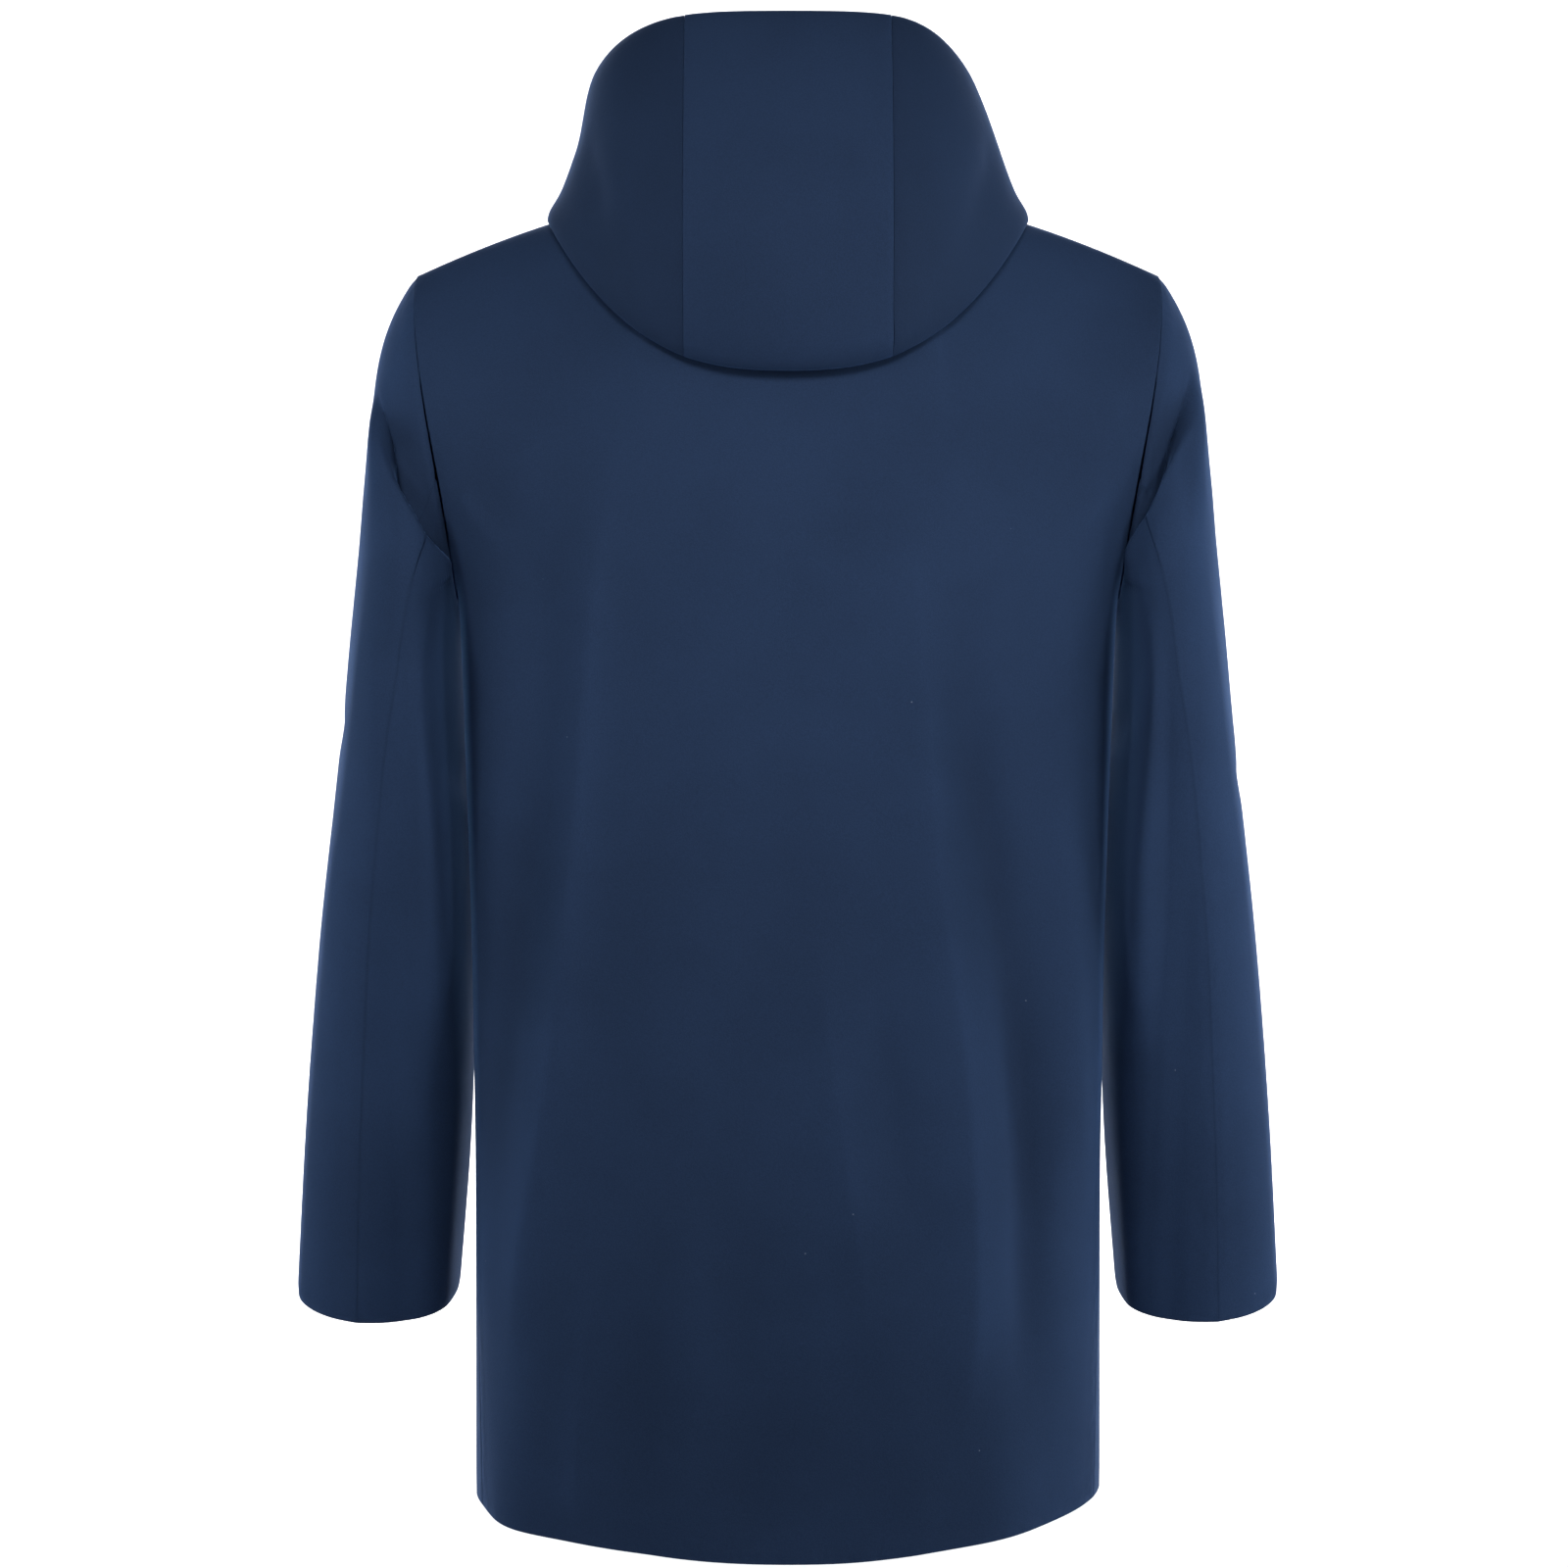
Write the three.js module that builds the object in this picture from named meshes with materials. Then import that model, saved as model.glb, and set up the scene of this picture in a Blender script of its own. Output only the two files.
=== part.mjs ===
// Hooded padded parka, closed down the front and worn with the hood down: a hollow garment that hangs from
// the shoulders, open at neck, hem and cuffs. Millimetres, +Z up. The front faces -Y and the wearer's left
// is +X. The origin lies midway between the two points where shoulder seam and neckline meet.
import * as THREE from "three";

const CLOTH = 3; // shell, wadding and lining, laid together
const SEAM = 0.3; // gap between two sewn pieces
const NAVY = 0x26364f;
const ABOVE_ALL = 500; // height from which the body is felt for
const OFF_THE_EDGES = 0.07; // keeps such a line from running along the edge of two faces
const STEEPEST = 0.3; // least upward share of a face's direction that counts on it
const NORMAL_STEP = 1e-3; // step of the differences that give a surface its normal

// Body: half of a section, at each height from the hem to the armpit.
const BODY = [
  { z: -860, halfWidth: 210, back: 136, front: 130 },
  { z: -640, halfWidth: 209, back: 133, front: 129 },
  { z: -490, halfWidth: 210, back: 129, front: 127 },
  { z: -385, halfWidth: 213, back: 126, front: 125 },
  { z: -320, halfWidth: 215, back: 124, front: 123 },
  { z: -268, halfWidth: 217, back: 122, front: 120 },
];
const HEM = BODY[0].z;
const HEM_DROP = 14; // by which the hem hangs lower in the middle of the back
const ARMPIT = BODY[BODY.length - 1];
const SQUARENESS = 2.25; // exponent of the section's rounded outline, 2 is an ellipse
const HEM_SEAM_TURN = 17; // degrees by which the side seam runs to the back on its way to the hem
const NECK_COLUMN_TURN = 62; // degrees round the section where the column to the neck point starts

// Shoulders, neckline and armholes.
const SHOULDER_POINT = { x: 244, y: -4 };
const NECK_POINT = { x: 95, y: 0 };
const SHOULDER_SLOPE = 0.211;
const SHOULDER_BOW = 0.00085; // per millimetre of its length
const NECK_BACK = { depth: 62, drop: 18, roundness: 1.5, reach: 0.7 }; // reach: share of the arch used
const NECK_FRONT = { depth: 78 };
const HOOD_SEAM_X = 66; // half the width of the hood's centre panel
const ARMHOLE_BOW = { back: 56, front: 50, width: 0.75, fade: 1.5 }; // fullness of the body at its armhole
const ARMHOLE_ROUND = { edge: 0.6, inside: 1.6, width: 0.4 }; // how evenly it is spread over the height

// Soft folds of the hanging cloth: each runs from its top to the hem and grows on its way.
const FOLDS = [
  { face: 1, top: -190, xTop: 98, xHem: 177, height: 8, width: 19 },
  { face: 1, top: -160, xTop: -82, xHem: -137, height: 7, width: 26 },
  { face: 1, top: -380, xTop: -12, xHem: -92, height: 3.5, width: 24 },
  { face: 1, top: -420, xTop: 186, xHem: 205, height: 3, width: 14 },
  { face: -1, top: -200, xTop: 92, xHem: 128, height: 7, width: 26 },
  { face: -1, top: -220, xTop: -96, xHem: -138, height: 7, width: 24 },
];
const FOLD_FADE = 0.25; // share of the side columns in which the folds end
const FOLD_TAPER = 0.7; // share of its width that a fold has at its top

// Sleeve: sections down its length, from below the armpit to the cuff.
const SLEEVE = [
  { z: -300, x: 254, y: -8, halfWidth: 36.5, halfDepth: 88, twist: -7 },
  { z: -350, x: 255.5, y: -12, halfWidth: 40.5, halfDepth: 86, twist: -20 },
  { z: -410, x: 257.5, y: -17, halfWidth: 46, halfDepth: 78.5, twist: -26 },
  { z: -490, x: 262, y: -25, halfWidth: 52, halfDepth: 68.5, twist: -30 },
  { z: -610, x: 270, y: -44, halfWidth: 57, halfDepth: 57, twist: -31 },
  { z: -735, x: 281, y: -68, halfWidth: 56.5, halfDepth: 46, twist: -27 },
];
const CUFF = SLEEVE[SLEEVE.length - 1].z;
const SLEEVE_GAP = 0.5; // distance of the sleeve head from the armhole
const CAP_LEAVE = { top: 0.16, bottom: 0.7 }; // how steeply the sleeve leaves the armhole
const CAP_HEAD = { height: 0.27, fullness: 0.45, roundness: 2.2 }; // shares of the cap that round its head
// The crease behind the armhole, where the hanging sleeve folds in under its head.
const CREASE = { turn: 20, turnEnd: 145, z: -125, zEnd: -238, depth: 9, above: 32, below: 13 };
const CREASE_SHAPE = { sideways: 0.4, fullness: 0.7, clear: 1 / 3 }; // clear: share of the cap above it
const CUFF_DROP = 8; // by which the cuff is longer at the back
const BACK_SEAM = 8; // steps round the armhole from the shoulder to the sleeve's back seam
const FRONT_SEAM = 16; // the same for its front seam

// Hood: closed rings from the neck seam out to the fold on the back, up to the rim and in to the facing.
// Their back halves have a half width and a height at the side, a reach and a height in the middle, the
// exponent of their outline, and how level they stay on their way to the middle.
const HOOD_BACK = [
  { wide: 108, side: -2, y: 74, z: -36, square: 2, level: 0 },
  { wide: 126, side: -6, y: 88, z: -62, square: 1.95, level: 0 },
  { wide: 147, side: -12, y: 105, z: -102, square: 1.9, level: 0 },
  { wide: 158, side: -15.5, y: 118, z: -117, square: 1.95, level: 0 },
  { wide: 157, side: -8, y: 131, z: -111, square: 1.95, level: 0 },
  { wide: 150.5, side: 2, y: 141, z: -90, square: 2, level: 0 },
  { wide: 144, side: 17, y: 147, z: -50, square: 2.05, level: 0.1 },
  { wide: 136, side: 39, y: 142, z: 0, square: 2.2, level: 0.3 },
  { wide: 127, side: 62, y: 119, z: 55, square: 2.35, level: 0.7 },
  { wide: 117.5, side: 80, y: 84, z: 105, square: 2.4, level: 1 },
  { wide: 109, side: 85, y: 74, z: 113, square: 2.4, level: 1 },
  { wide: 103, side: 80, y: 66, z: 107, square: 2.4, level: 1 },
  { wide: 99, side: 58, y: 64, z: 84, square: 2.4, level: 1 },
];
// Their front halves, which share the half width and the height at the side.
const HOOD_FRONT = [
  { y: -79, z: -61, square: 2 },
  { y: -80, z: -57, square: 1.95 },
  { y: -82, z: -52, square: 1.85 },
  { y: -84, z: -47, square: 1.75 },
  { y: -86, z: -41, square: 1.7 },
  { y: -88, z: -34, square: 1.7 },
  { y: -90, z: -24, square: 1.75 },
  { y: -91, z: -9, square: 1.9 },
  { y: -90, z: 7, square: 2.1 },
  { y: -86, z: 20, square: 2.2 },
  { y: -80, z: 24, square: 2.2 },
  { y: -74, z: 18, square: 2.2 },
  { y: -72, z: -4, square: 2.2 },
];
const HOOD_DROOP = 2.8; // how late the hood's lower rings drop from the side to the back
const HOOD_CREST = 6; // the same for its top rings
const HOOD_FRONT_DROOP = 2.2; // the same for the front halves
const NECK_SEAM_LIFT = 0.55; // height of the hood's first edge over the neckline
const LYING_RINGS = 3; // rings, from the neck seam on, that lie on the shoulders and back
const HOOD_LIFT = 3.2; // least distance of its rings from the shoulders and back
const SEAM_BULK = 3; // more of it just outside the neck seam at the back
const SEAM_BULK_END = 1 / 3; // share of the way to the front in which that fades

// Front fly, a strip over the closed front edges.
const FLY = { halfWidth: 27, thickness: 2.5, clearance: 1.4, top: 0.7 };
const FLY_ON_FRONT = { from: -0.5, to: 0.5 }; // columns of the front between which its edges lie
const FLY_ON_HOOD = { from: -1.4, to: -0.6 }; // the same for the hood

// Grid lines of the pieces.
const BODY_ROWS = 10;
const ARMHOLE_ROWS = 12;
const ROW_CROWDING = 1.25; // above 1 the rows stand closer together near the armpit
const SHOULDER_COLUMNS = 8;
const NECK_COLUMNS = 8; // even, so that one of them meets the hood's seams
const CAP_ROWS = 12;
const ARM_ROWS = 10;
const HOOD_ROWS = 28;
const HOOD_COLUMNS = { front: 9, back: 8, center: 6 };
const FLY_COLUMNS = 4;
const COLUMN_EXACT = 1e-7; // how closely a column of the fly is found

const { abs, cos, sin, sign } = Math;
const RIGHT_ANGLE = Math.PI / 2;
const radians = THREE.MathUtils.degToRad;
const mix = THREE.MathUtils.lerp;
const smooth = (t) => THREE.MathUtils.smoothstep(t, 0, 1);
const limited = (t) => THREE.MathUtils.clamp(t, 0, 1);
const power = (value, exponent) => sign(value) * abs(value) ** exponent;
const mirrored = (p) => new THREE.Vector3(-p.x, p.y, p.z);
const steps = (count, from = 0, to = 1) =>
  Array.from({ length: count + 1 }, (_, i) => mix(from, to, i / count));

// A table's column at a height between its rows, on a smooth curve through them.
function read(table, z, column) {
  const rising = table[0].z < table[table.length - 1].z ? 1 : -1;
  let i = 0;
  while (i < table.length - 2 && (table[i + 1].z - z) * rising < 0) i++;
  const slope = (a, b) => (b[column] - a[column]) / (b.z - a.z);
  const [low, high] = [table[i], table[i + 1]];
  const slopeLow = slope(table[i - 1] ?? low, high);
  const slopeHigh = slope(low, table[i + 2] ?? high);
  const span = high.z - low.z;
  const t = (z - low.z) / span;
  const bend = t * (1 - t) * span;
  return mix(low[column], high[column], smooth(t)) + bend * ((1 - t) * slopeLow - t * slopeHigh);
}

// ---- Body ----

// A point of the body's section at a height, turned degrees from the side to the back.
function section(z, turned) {
  const angle = radians(turned);
  const depth = turned > 0 ? read(BODY, z, "back") : read(BODY, z, "front");
  const x = read(BODY, z, "halfWidth") * power(cos(angle), 2 / SQUARENESS);
  const y = depth * power(sin(angle), 2 / SQUARENESS);
  return new THREE.Vector3(x, y, z);
}

// Degrees from the side at which a column starts: 0 at the side seam, 1 below the neck point, 2 middle.
const columnTurn = (across) =>
  across < 1 ? NECK_COLUMN_TURN * across : mix(NECK_COLUMN_TURN, 90, across - 1);

const shoulderZ = (x) => {
  const out = x - NECK_POINT.x;
  return -SHOULDER_SLOPE * out - SHOULDER_BOW * out * out;
};

// The neckline from the neck point, at 0, to the middle of the back or front, at 1. At the back, a half of
// the way brings it to the seam of the hood's centre panel.
function neckline(face, along) {
  if (face < 0) {
    const angle = along * RIGHT_ANGLE;
    const y = -NECK_FRONT.depth * sin(angle);
    const chest = section(ARMPIT.z, -columnTurn(1 + along)).y;
    return new THREE.Vector3(NECK_POINT.x * cos(angle), y, ARMPIT.z * (1 - Math.sqrt(1 - (y / chest) ** 2)));
  }
  const seam = Math.acos(HOOD_SEAM_X / NECK_POINT.x);
  const angle = along < 0.5 ? mix(0, seam, 2 * along) : mix(seam, RIGHT_ANGLE, 2 * along - 1);
  const z = -NECK_BACK.drop * abs(sin(angle)) ** NECK_BACK.roundness;
  return new THREE.Vector3(NECK_POINT.x * cos(angle), NECK_BACK.depth * sin(angle), z);
}

function topEdge(face, across) {
  if (across > 1) return neckline(face, across - 1);
  const x = mix(SHOULDER_POINT.x, NECK_POINT.x, across);
  return new THREE.Vector3(x, mix(SHOULDER_POINT.y, NECK_POINT.y, across), shoulderZ(x));
}

// The body above the armpit: each column arches from the chest over to the shoulder seam or neckline.
function upperBody(face, across, up) {
  const foot = section(ARMPIT.z, face * columnTurn(across));
  const head = topEdge(face, across);
  const atNeck = limited(across - 1);
  const backEnd = RIGHT_ANGLE * mix(1, NECK_BACK.reach, smooth(atNeck));
  const end = face < 0 && atNeck > 0 ? Math.acos(head.y / foot.y) : backEnd;
  const crownZ = ARMPIT.z + (head.z - ARMPIT.z) / sin(end);
  const crownY = (head.y - foot.y * cos(end)) / (1 - cos(end));
  const z = mix(ARMPIT.z, crownZ, sin(up * end));
  const rise = (z - ARMPIT.z) / (head.z - ARMPIT.z);
  const near = limited(1 - across / ARMHOLE_BOW.width) ** ARMHOLE_BOW.fade;
  const round = mix(ARMHOLE_ROUND.edge, ARMHOLE_ROUND.inside, limited(across / ARMHOLE_ROUND.width));
  const bow = (face > 0 ? ARMHOLE_BOW.back : -ARMHOLE_BOW.front) * near;
  const y = mix(crownY, foot.y, cos(up * end)) + bow * sin(Math.PI * limited(rise)) ** round;
  return new THREE.Vector3(mix(foot.x, head.x, smooth(rise)), y, z);
}

// The left half of the body. across runs from the side to the middle, and height from 0 at the hem to 1 at
// the armpit and 2 at the shoulder. A little past a seam it goes on round the neighbouring piece.
function body(face, across, height) {
  if (across > 2) return mirrored(body(face, 4 - across, height));
  if (height > 2) return across > 1 ? body(face, across, 2) : body(-face, across, 4 - height);
  if (height > 1) return upperBody(face, Math.max(across, 0), height - 1);
  const z = mix(HEM, ARMPIT.z, height);
  const seam = mix(HEM_SEAM_TURN, 0, height);
  const p = section(z, mix(seam, face * 90, columnTurn(across) / 90));
  if (face > 0) p.z -= HEM_DROP * (1 - height) ** 3 * sin(limited(across / 2) * RIGHT_ANGLE);
  return p;
}

// How far the folds push the cloth out at a point. They fade towards the side seam.
function foldHeight(face, p, across) {
  const ownFolds = FOLDS.filter((fold) => fold.face === face);
  const fade = smooth(limited(across / FOLD_FADE));
  return ownFolds.reduce((sum, fold) => {
    const down = limited((fold.top - p.z) / (fold.top - HEM));
    const middle = mix(fold.xTop, fold.xHem, down);
    const aside = (p.x - middle) / (fold.width * mix(FOLD_TAPER, 1, down));
    return sum + fade * fold.height * smooth(down) * Math.exp(-aside * aside);
  }, 0);
}

// A body surface over both halves: across is 0 in the middle, 2 at the left side and -2 at the right.
const bodySurface = (face) => (across, height) => {
  const fromSide = 2 - abs(across);
  const half = body(face, fromSide, height);
  const p = across < 0 ? mirrored(half) : half;
  const out = new THREE.Vector3(p.x / ARMPIT.halfWidth ** 2, p.y / ARMPIT.back ** 2, 0).normalize();
  return p.addScaledVector(out, foldHeight(face, p, fromSide));
};
const back = bodySurface(1);
const front = bodySurface(-1);

// ---- Walls ----

// The unit normal of surface(u, v), towards the side from which u runs to the right and v up.
function normalOf(surface, u, v) {
  const across = surface(u + NORMAL_STEP, v).sub(surface(u - NORMAL_STEP, v));
  const up = surface(u, v + NORMAL_STEP).sub(surface(u, v - NORMAL_STEP));
  return across.cross(up).normalize();
}

// A closed wall over the grid of surface(u, v), its outside on the side of the normal. The edges named in
// seams are drawn in by half a seam, and lean may turn the wall's thickness at a grid point.
function wall(name, surface, us, vs, { seams = [], thickness = CLOTH, lift = 0, lean = (n) => n } = {}) {
  const [lastU, lastV] = [us.length - 1, vs.length - 1];
  const outer = [];
  const inner = [];
  us.forEach((u, i) =>
    vs.forEach((v, j) => {
      const p = surface(u, v);
      const inwards = [
        seams.includes("start") && i === 0 && [us[1], v],
        seams.includes("end") && i === lastU && [us[lastU - 1], v],
        seams.includes("bottom") && j === 0 && [u, vs[1]],
        seams.includes("top") && j === lastV && [u, vs[lastV - 1]],
      ].filter(Boolean);
      const moves = inwards.map(([nextU, nextV]) => surface(nextU, nextV).sub(p).setLength(SEAM / 2));
      moves.forEach((move) => p.add(move));
      const normal = lean(normalOf(surface, u, v), i, j);
      outer.push(p.clone().addScaledVector(normal, lift));
      inner.push(p.clone().addScaledVector(normal, lift - thickness));
    }),
  );
  const at = (i, j, isInner) => i * vs.length + j + (isInner ? outer.length : 0);
  const faces = [];
  const quad = (a, b, c, d) => faces.push(a, b, c, a, c, d);
  for (let i = 0; i < lastU; i++) {
    for (let j = 0; j < lastV; j++) {
      quad(at(i, j), at(i + 1, j), at(i + 1, j + 1), at(i, j + 1));
      quad(at(i, j + 1, true), at(i + 1, j + 1, true), at(i + 1, j, true), at(i, j, true));
    }
    quad(at(i, 0, true), at(i + 1, 0, true), at(i + 1, 0), at(i, 0));
    quad(at(i, lastV), at(i + 1, lastV), at(i + 1, lastV, true), at(i, lastV, true));
  }
  for (let j = 0; j < lastV; j++) {
    quad(at(0, j), at(0, j + 1), at(0, j + 1, true), at(0, j, true));
    quad(at(lastU, j), at(lastU, j, true), at(lastU, j + 1, true), at(lastU, j + 1));
  }
  return clothMesh(name, [...outer, ...inner], faces);
}

function clothMesh(name, points, faces) {
  const geometry = new THREE.BufferGeometry().setFromPoints(points);
  geometry.setIndex(faces);
  geometry.computeVertexNormals();
  const cloth = new THREE.MeshStandardMaterial({ color: NAVY, roughness: 0.85, metalness: 0 });
  const mesh = new THREE.Mesh(geometry, cloth);
  mesh.name = name;
  return mesh;
}

// The same piece on the other side of the body.
function opposite(mesh, name) {
  const position = mesh.geometry.getAttribute("position");
  const points = steps(position.count - 1, 0, position.count - 1).map((i) =>
    mirrored(new THREE.Vector3().fromBufferAttribute(position, Math.round(i))),
  );
  return clothMesh(name, points, [...mesh.geometry.index.array].reverse());
}

// ---- Sleeves ----

const armholeHeight = (share) => 1 + share ** ROW_CROWDING;
const bodyRows = [...steps(BODY_ROWS).slice(0, -1), ...steps(ARMHOLE_ROWS).map(armholeHeight)];

// The armhole's loop, from the shoulder point down the back and up the front, a step for each body row.
const armholePlace = (anyStep) => {
  const step = (anyStep + 2 * ARMHOLE_ROWS) % (2 * ARMHOLE_ROWS);
  const face = step <= ARMHOLE_ROWS ? 1 : -1;
  const below = face > 0 ? step : 2 * ARMHOLE_ROWS - step;
  return { face, height: armholeHeight(1 - below / ARMHOLE_ROWS) };
};
const armholePoint = (step) => {
  const { face, height } = armholePlace(step);
  return body(face, 0, height);
};

// Degrees round the sleeve at each step, by the armhole's own length: 0 outwards, 90 back, 180 inwards.
const sleeveTurns = (() => {
  const run = [0];
  for (let i = 1; i <= 2 * ARMHOLE_ROWS; i++)
    run.push(run[i - 1] + armholePoint(i).distanceTo(armholePoint(i - 1)));
  const [half, whole] = [run[ARMHOLE_ROWS], run[2 * ARMHOLE_ROWS]];
  return run.map((length, i) =>
    i <= ARMHOLE_ROWS ? (180 * length) / half : 180 + (180 * (length - half)) / (whole - half),
  );
})();

const sleeveCentre = (z) => new THREE.Vector3(read(SLEEVE, z, "x"), read(SLEEVE, z, "y"), z);

// A point of the sleeve's section, square to its middle line.
function sleeveSection(z, degrees) {
  const angle = radians(degrees + read(SLEEVE, z, "twist"));
  const down = sleeveCentre(z - 1).sub(sleeveCentre(z + 1)).normalize();
  const outward = new THREE.Vector3().crossVectors(down, new THREE.Vector3(0, 1, 0)).normalize();
  const backward = new THREE.Vector3().crossVectors(outward, down).normalize();
  const p = sleeveCentre(z)
    .addScaledVector(outward, read(SLEEVE, z, "halfWidth") * cos(angle))
    .addScaledVector(backward, read(SLEEVE, z, "halfDepth") * sin(angle));
  const nearCuff = limited((SLEEVE[0].z - z) / (SLEEVE[0].z - CUFF));
  p.z -= CUFF_DROP * nearCuff ** 3 * sin(radians(degrees));
  return p;
}

// The left sleeve: down runs from 0 at the armhole to 1 below the armpit and 2 at the cuff.
function sleeve(step, down) {
  const round = (step + 2 * ARMHOLE_ROWS) % (2 * ARMHOLE_ROWS);
  const low = Math.floor(round);
  const degrees = mix(sleeveTurns[low], sleeveTurns[low + 1], round - low);
  if (down > 1) return sleeveSection(mix(SLEEVE[0].z, CUFF, down - 1), degrees);
  const from = armholePoint(low).lerp(armholePoint(low + 1), round - low);
  from.x += SLEEVE_GAP;
  const to = sleeveSection(SLEEVE[0].z, degrees);
  const under = (1 - cos(radians(degrees))) / 2;
  const steep = mix(CAP_LEAVE.top, CAP_LEAVE.bottom, under);
  const downwards = mix(1 - cos(down * RIGHT_ANGLE), down, steep);
  const head = 1 - (1 - limited(downwards / CAP_HEAD.height)) ** CAP_HEAD.roundness;
  const outwards = mix(mix(downwards, head, CAP_HEAD.fullness), smooth(down), under);
  const p = new THREE.Vector3(
    mix(from.x, to.x, outwards),
    mix(from.y, to.y, sin(down * RIGHT_ANGLE)),
    mix(from.z, to.z, downwards),
  );
  const depth = creaseDepth(degrees, p.z) * smooth(limited(down / CREASE_SHAPE.clear));
  p.x -= depth * CREASE_SHAPE.sideways * cos(radians(degrees));
  p.y -= depth * sin(radians(degrees));
  return p;
}

// How deep the crease lies at a turn round the sleeve: a long slope above its line and a short one below.
function creaseDepth(degrees, z) {
  const along = (degrees - CREASE.turn) / (CREASE.turnEnd - CREASE.turn);
  if (along < 0 || along > 1) return 0;
  const over = z - mix(CREASE.z, CREASE.zEnd, along);
  const width = over > 0 ? CREASE.above : CREASE.below;
  return CREASE.depth * sin(Math.PI * along) ** CREASE_SHAPE.fullness * Math.exp(-((over / width) ** 2));
}

// The sleeve seen from outside, from the cuff, 0, up to the armhole, 2.
const sleeveOutside = (step, up) => sleeve(step, Math.max(2 - up, 0));

// At the armhole both walls lean towards one direction, as far as their outsides face the same way.
function armholeLean(step) {
  const { face, height } = armholePlace(step);
  const ofBody = normalOf(bodySurface(face), 2 - NORMAL_STEP, height).multiplyScalar(-face);
  const ofSleeve = normalOf(sleeveOutside, step, 2 - NORMAL_STEP);
  const shared = limited(ofBody.dot(ofSleeve));
  return {
    body: ofBody.clone().addScaledVector(ofSleeve, shared).normalize(),
    sleeve: ofSleeve.clone().addScaledVector(ofBody, shared).normalize(),
  };
}

function sleevePiece(name, firstStep, lastStep) {
  const columns = steps(lastStep - firstStep, firstStep, lastStep);
  const rows = [...steps(ARM_ROWS), ...steps(CAP_ROWS, 1, 2).slice(1)];
  const lean = (normal, i, j) => (j === rows.length - 1 ? armholeLean(columns[i]).sleeve : normal);
  return wall(name, sleeveOutside, columns, rows, { seams: ["start", "end"], lean });
}

// ---- Body panels ----

// Columns from the middle to the side, and on the other half.
const leftHalf = [...steps(NECK_COLUMNS).slice(0, -1), ...steps(SHOULDER_COLUMNS, 1, 2)];
const rightHalf = leftHalf.map((across) => -across).reverse();

// The back as seen from behind, with the wearer's left on the left.
const backSeen = (across, height) => back(-across, height);

// A panel of the body. Along its armhole edge its wall leans as the sleeve's does.
function bodyPanel(name, surface, face, columns) {
  const lean = (normal, i, j) => {
    const row = j - BODY_ROWS;
    if (abs(columns[i]) < 2 || row < 0) return normal;
    const shared = armholeLean(ARMHOLE_ROWS - face * row).body;
    return columns[i] * face > 0 ? mirrored(shared) : shared;
  };
  return wall(name, surface, columns, bodyRows, { seams: ["start", "end", "top"], lean });
}

// ---- Hood ----

// A ring of the hood: at the back it drops from its sides to its middle, and at the front it rises or drops.
function ringPoint(index, face, along) {
  const { wide, side, level } = HOOD_BACK[index];
  const { y, z, square } = face > 0 ? HOOD_BACK[index] : HOOD_FRONT[index];
  const seam = Math.acos((HOOD_SEAM_X / wide) ** (square / 2));
  const bent = along < 0.5 ? mix(0, seam, 2 * along) : mix(seam, RIGHT_ANGLE, 2 * along - 1);
  const angle = face > 0 ? bent : along * RIGHT_ANGLE;
  const aside = abs(cos(angle)) ** (2 / square);
  const droop = face > 0 ? mix(HOOD_DROOP, HOOD_CREST, level) : HOOD_FRONT_DROOP;
  const height = mix(z, side, aside ** droop);
  return new THREE.Vector3(wide * aside, y * sin(angle) ** (2 / square), height);
}

// The hood, seen from outside. round runs from -1 at the front edge over 0 at the left side to 1 in the
// middle of the back and on to 3, and out from 0 at the neck seam through the rings to 1 inside the rim.
const hoodLines = new Map();
function hood(round, out) {
  if (round > 1) return mirrored(hood(2 - round, out));
  if (round < -1) return mirrored(hood(-2 - round, out));
  if (!hoodLines.has(round)) hoodLines.set(round, hoodLine(round > 0 ? 1 : -1, abs(round)));
  return hoodLines.get(round).getPoint(limited(out));
}

// The hood's line from the neck seam to the rim, kept above the shoulders and back that it lies on.
function hoodLine(face, along) {
  const edge = body(face, 1 + along, 2);
  const up = edge.clone().sub(body(face, 1 + along, 2 - NORMAL_STEP)).normalize();
  const out = normalOf(bodySurface(face), 1 - along, 2).multiplyScalar(-face);
  const drawn = (SEAM / 2) * smooth(limited(2 * along));
  const start = edge.clone().addScaledVector(up, drawn).addScaledVector(out, NECK_SEAM_LIFT);
  const bulk = face > 0 ? SEAM_BULK : SEAM_BULK * limited(1 - along / SEAM_BULK_END);
  const rings = HOOD_BACK.map((_, index) => ringPoint(index, face, along));
  rings.slice(0, LYING_RINGS).forEach((p, index) => {
    const lift = index === 0 ? HOOD_LIFT + bulk : HOOD_LIFT;
    p.z = Math.max(p.z, heightOverBody(p, lift));
  });
  return new THREE.CatmullRomCurve3([start, ...rings]);
}

// The height at which a point is as far from the body's outside as lift.
function heightOverBody(p, lift) {
  const above = new THREE.Vector3(p.x + OFF_THE_EDGES, p.y - OFF_THE_EDGES, ABOVE_ALL);
  const ray = new THREE.Raycaster(above, new THREE.Vector3(0, 0, -1));
  const [hit] = ray.intersectObjects([backPanel, frontLeft]);
  return hit ? hit.point.z + lift / Math.max(hit.face.normal.z, STEEPEST) : HEM;
}

const hoodPiece = (name, columns) =>
  wall(name, hood, columns, steps(HOOD_ROWS), { seams: ["start", "end"] });

// ---- Front fly ----

// Where a surface that runs to the side with u reaches a distance from the middle.
function columnAt(surface, v, { from, to }, x) {
  let [low, high] = [from, to];
  while (high - low > COLUMN_EXACT) {
    const middle = (low + high) / 2;
    if (surface(middle, v).x < x) low = middle;
    else high = middle;
  }
  return low;
}

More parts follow.
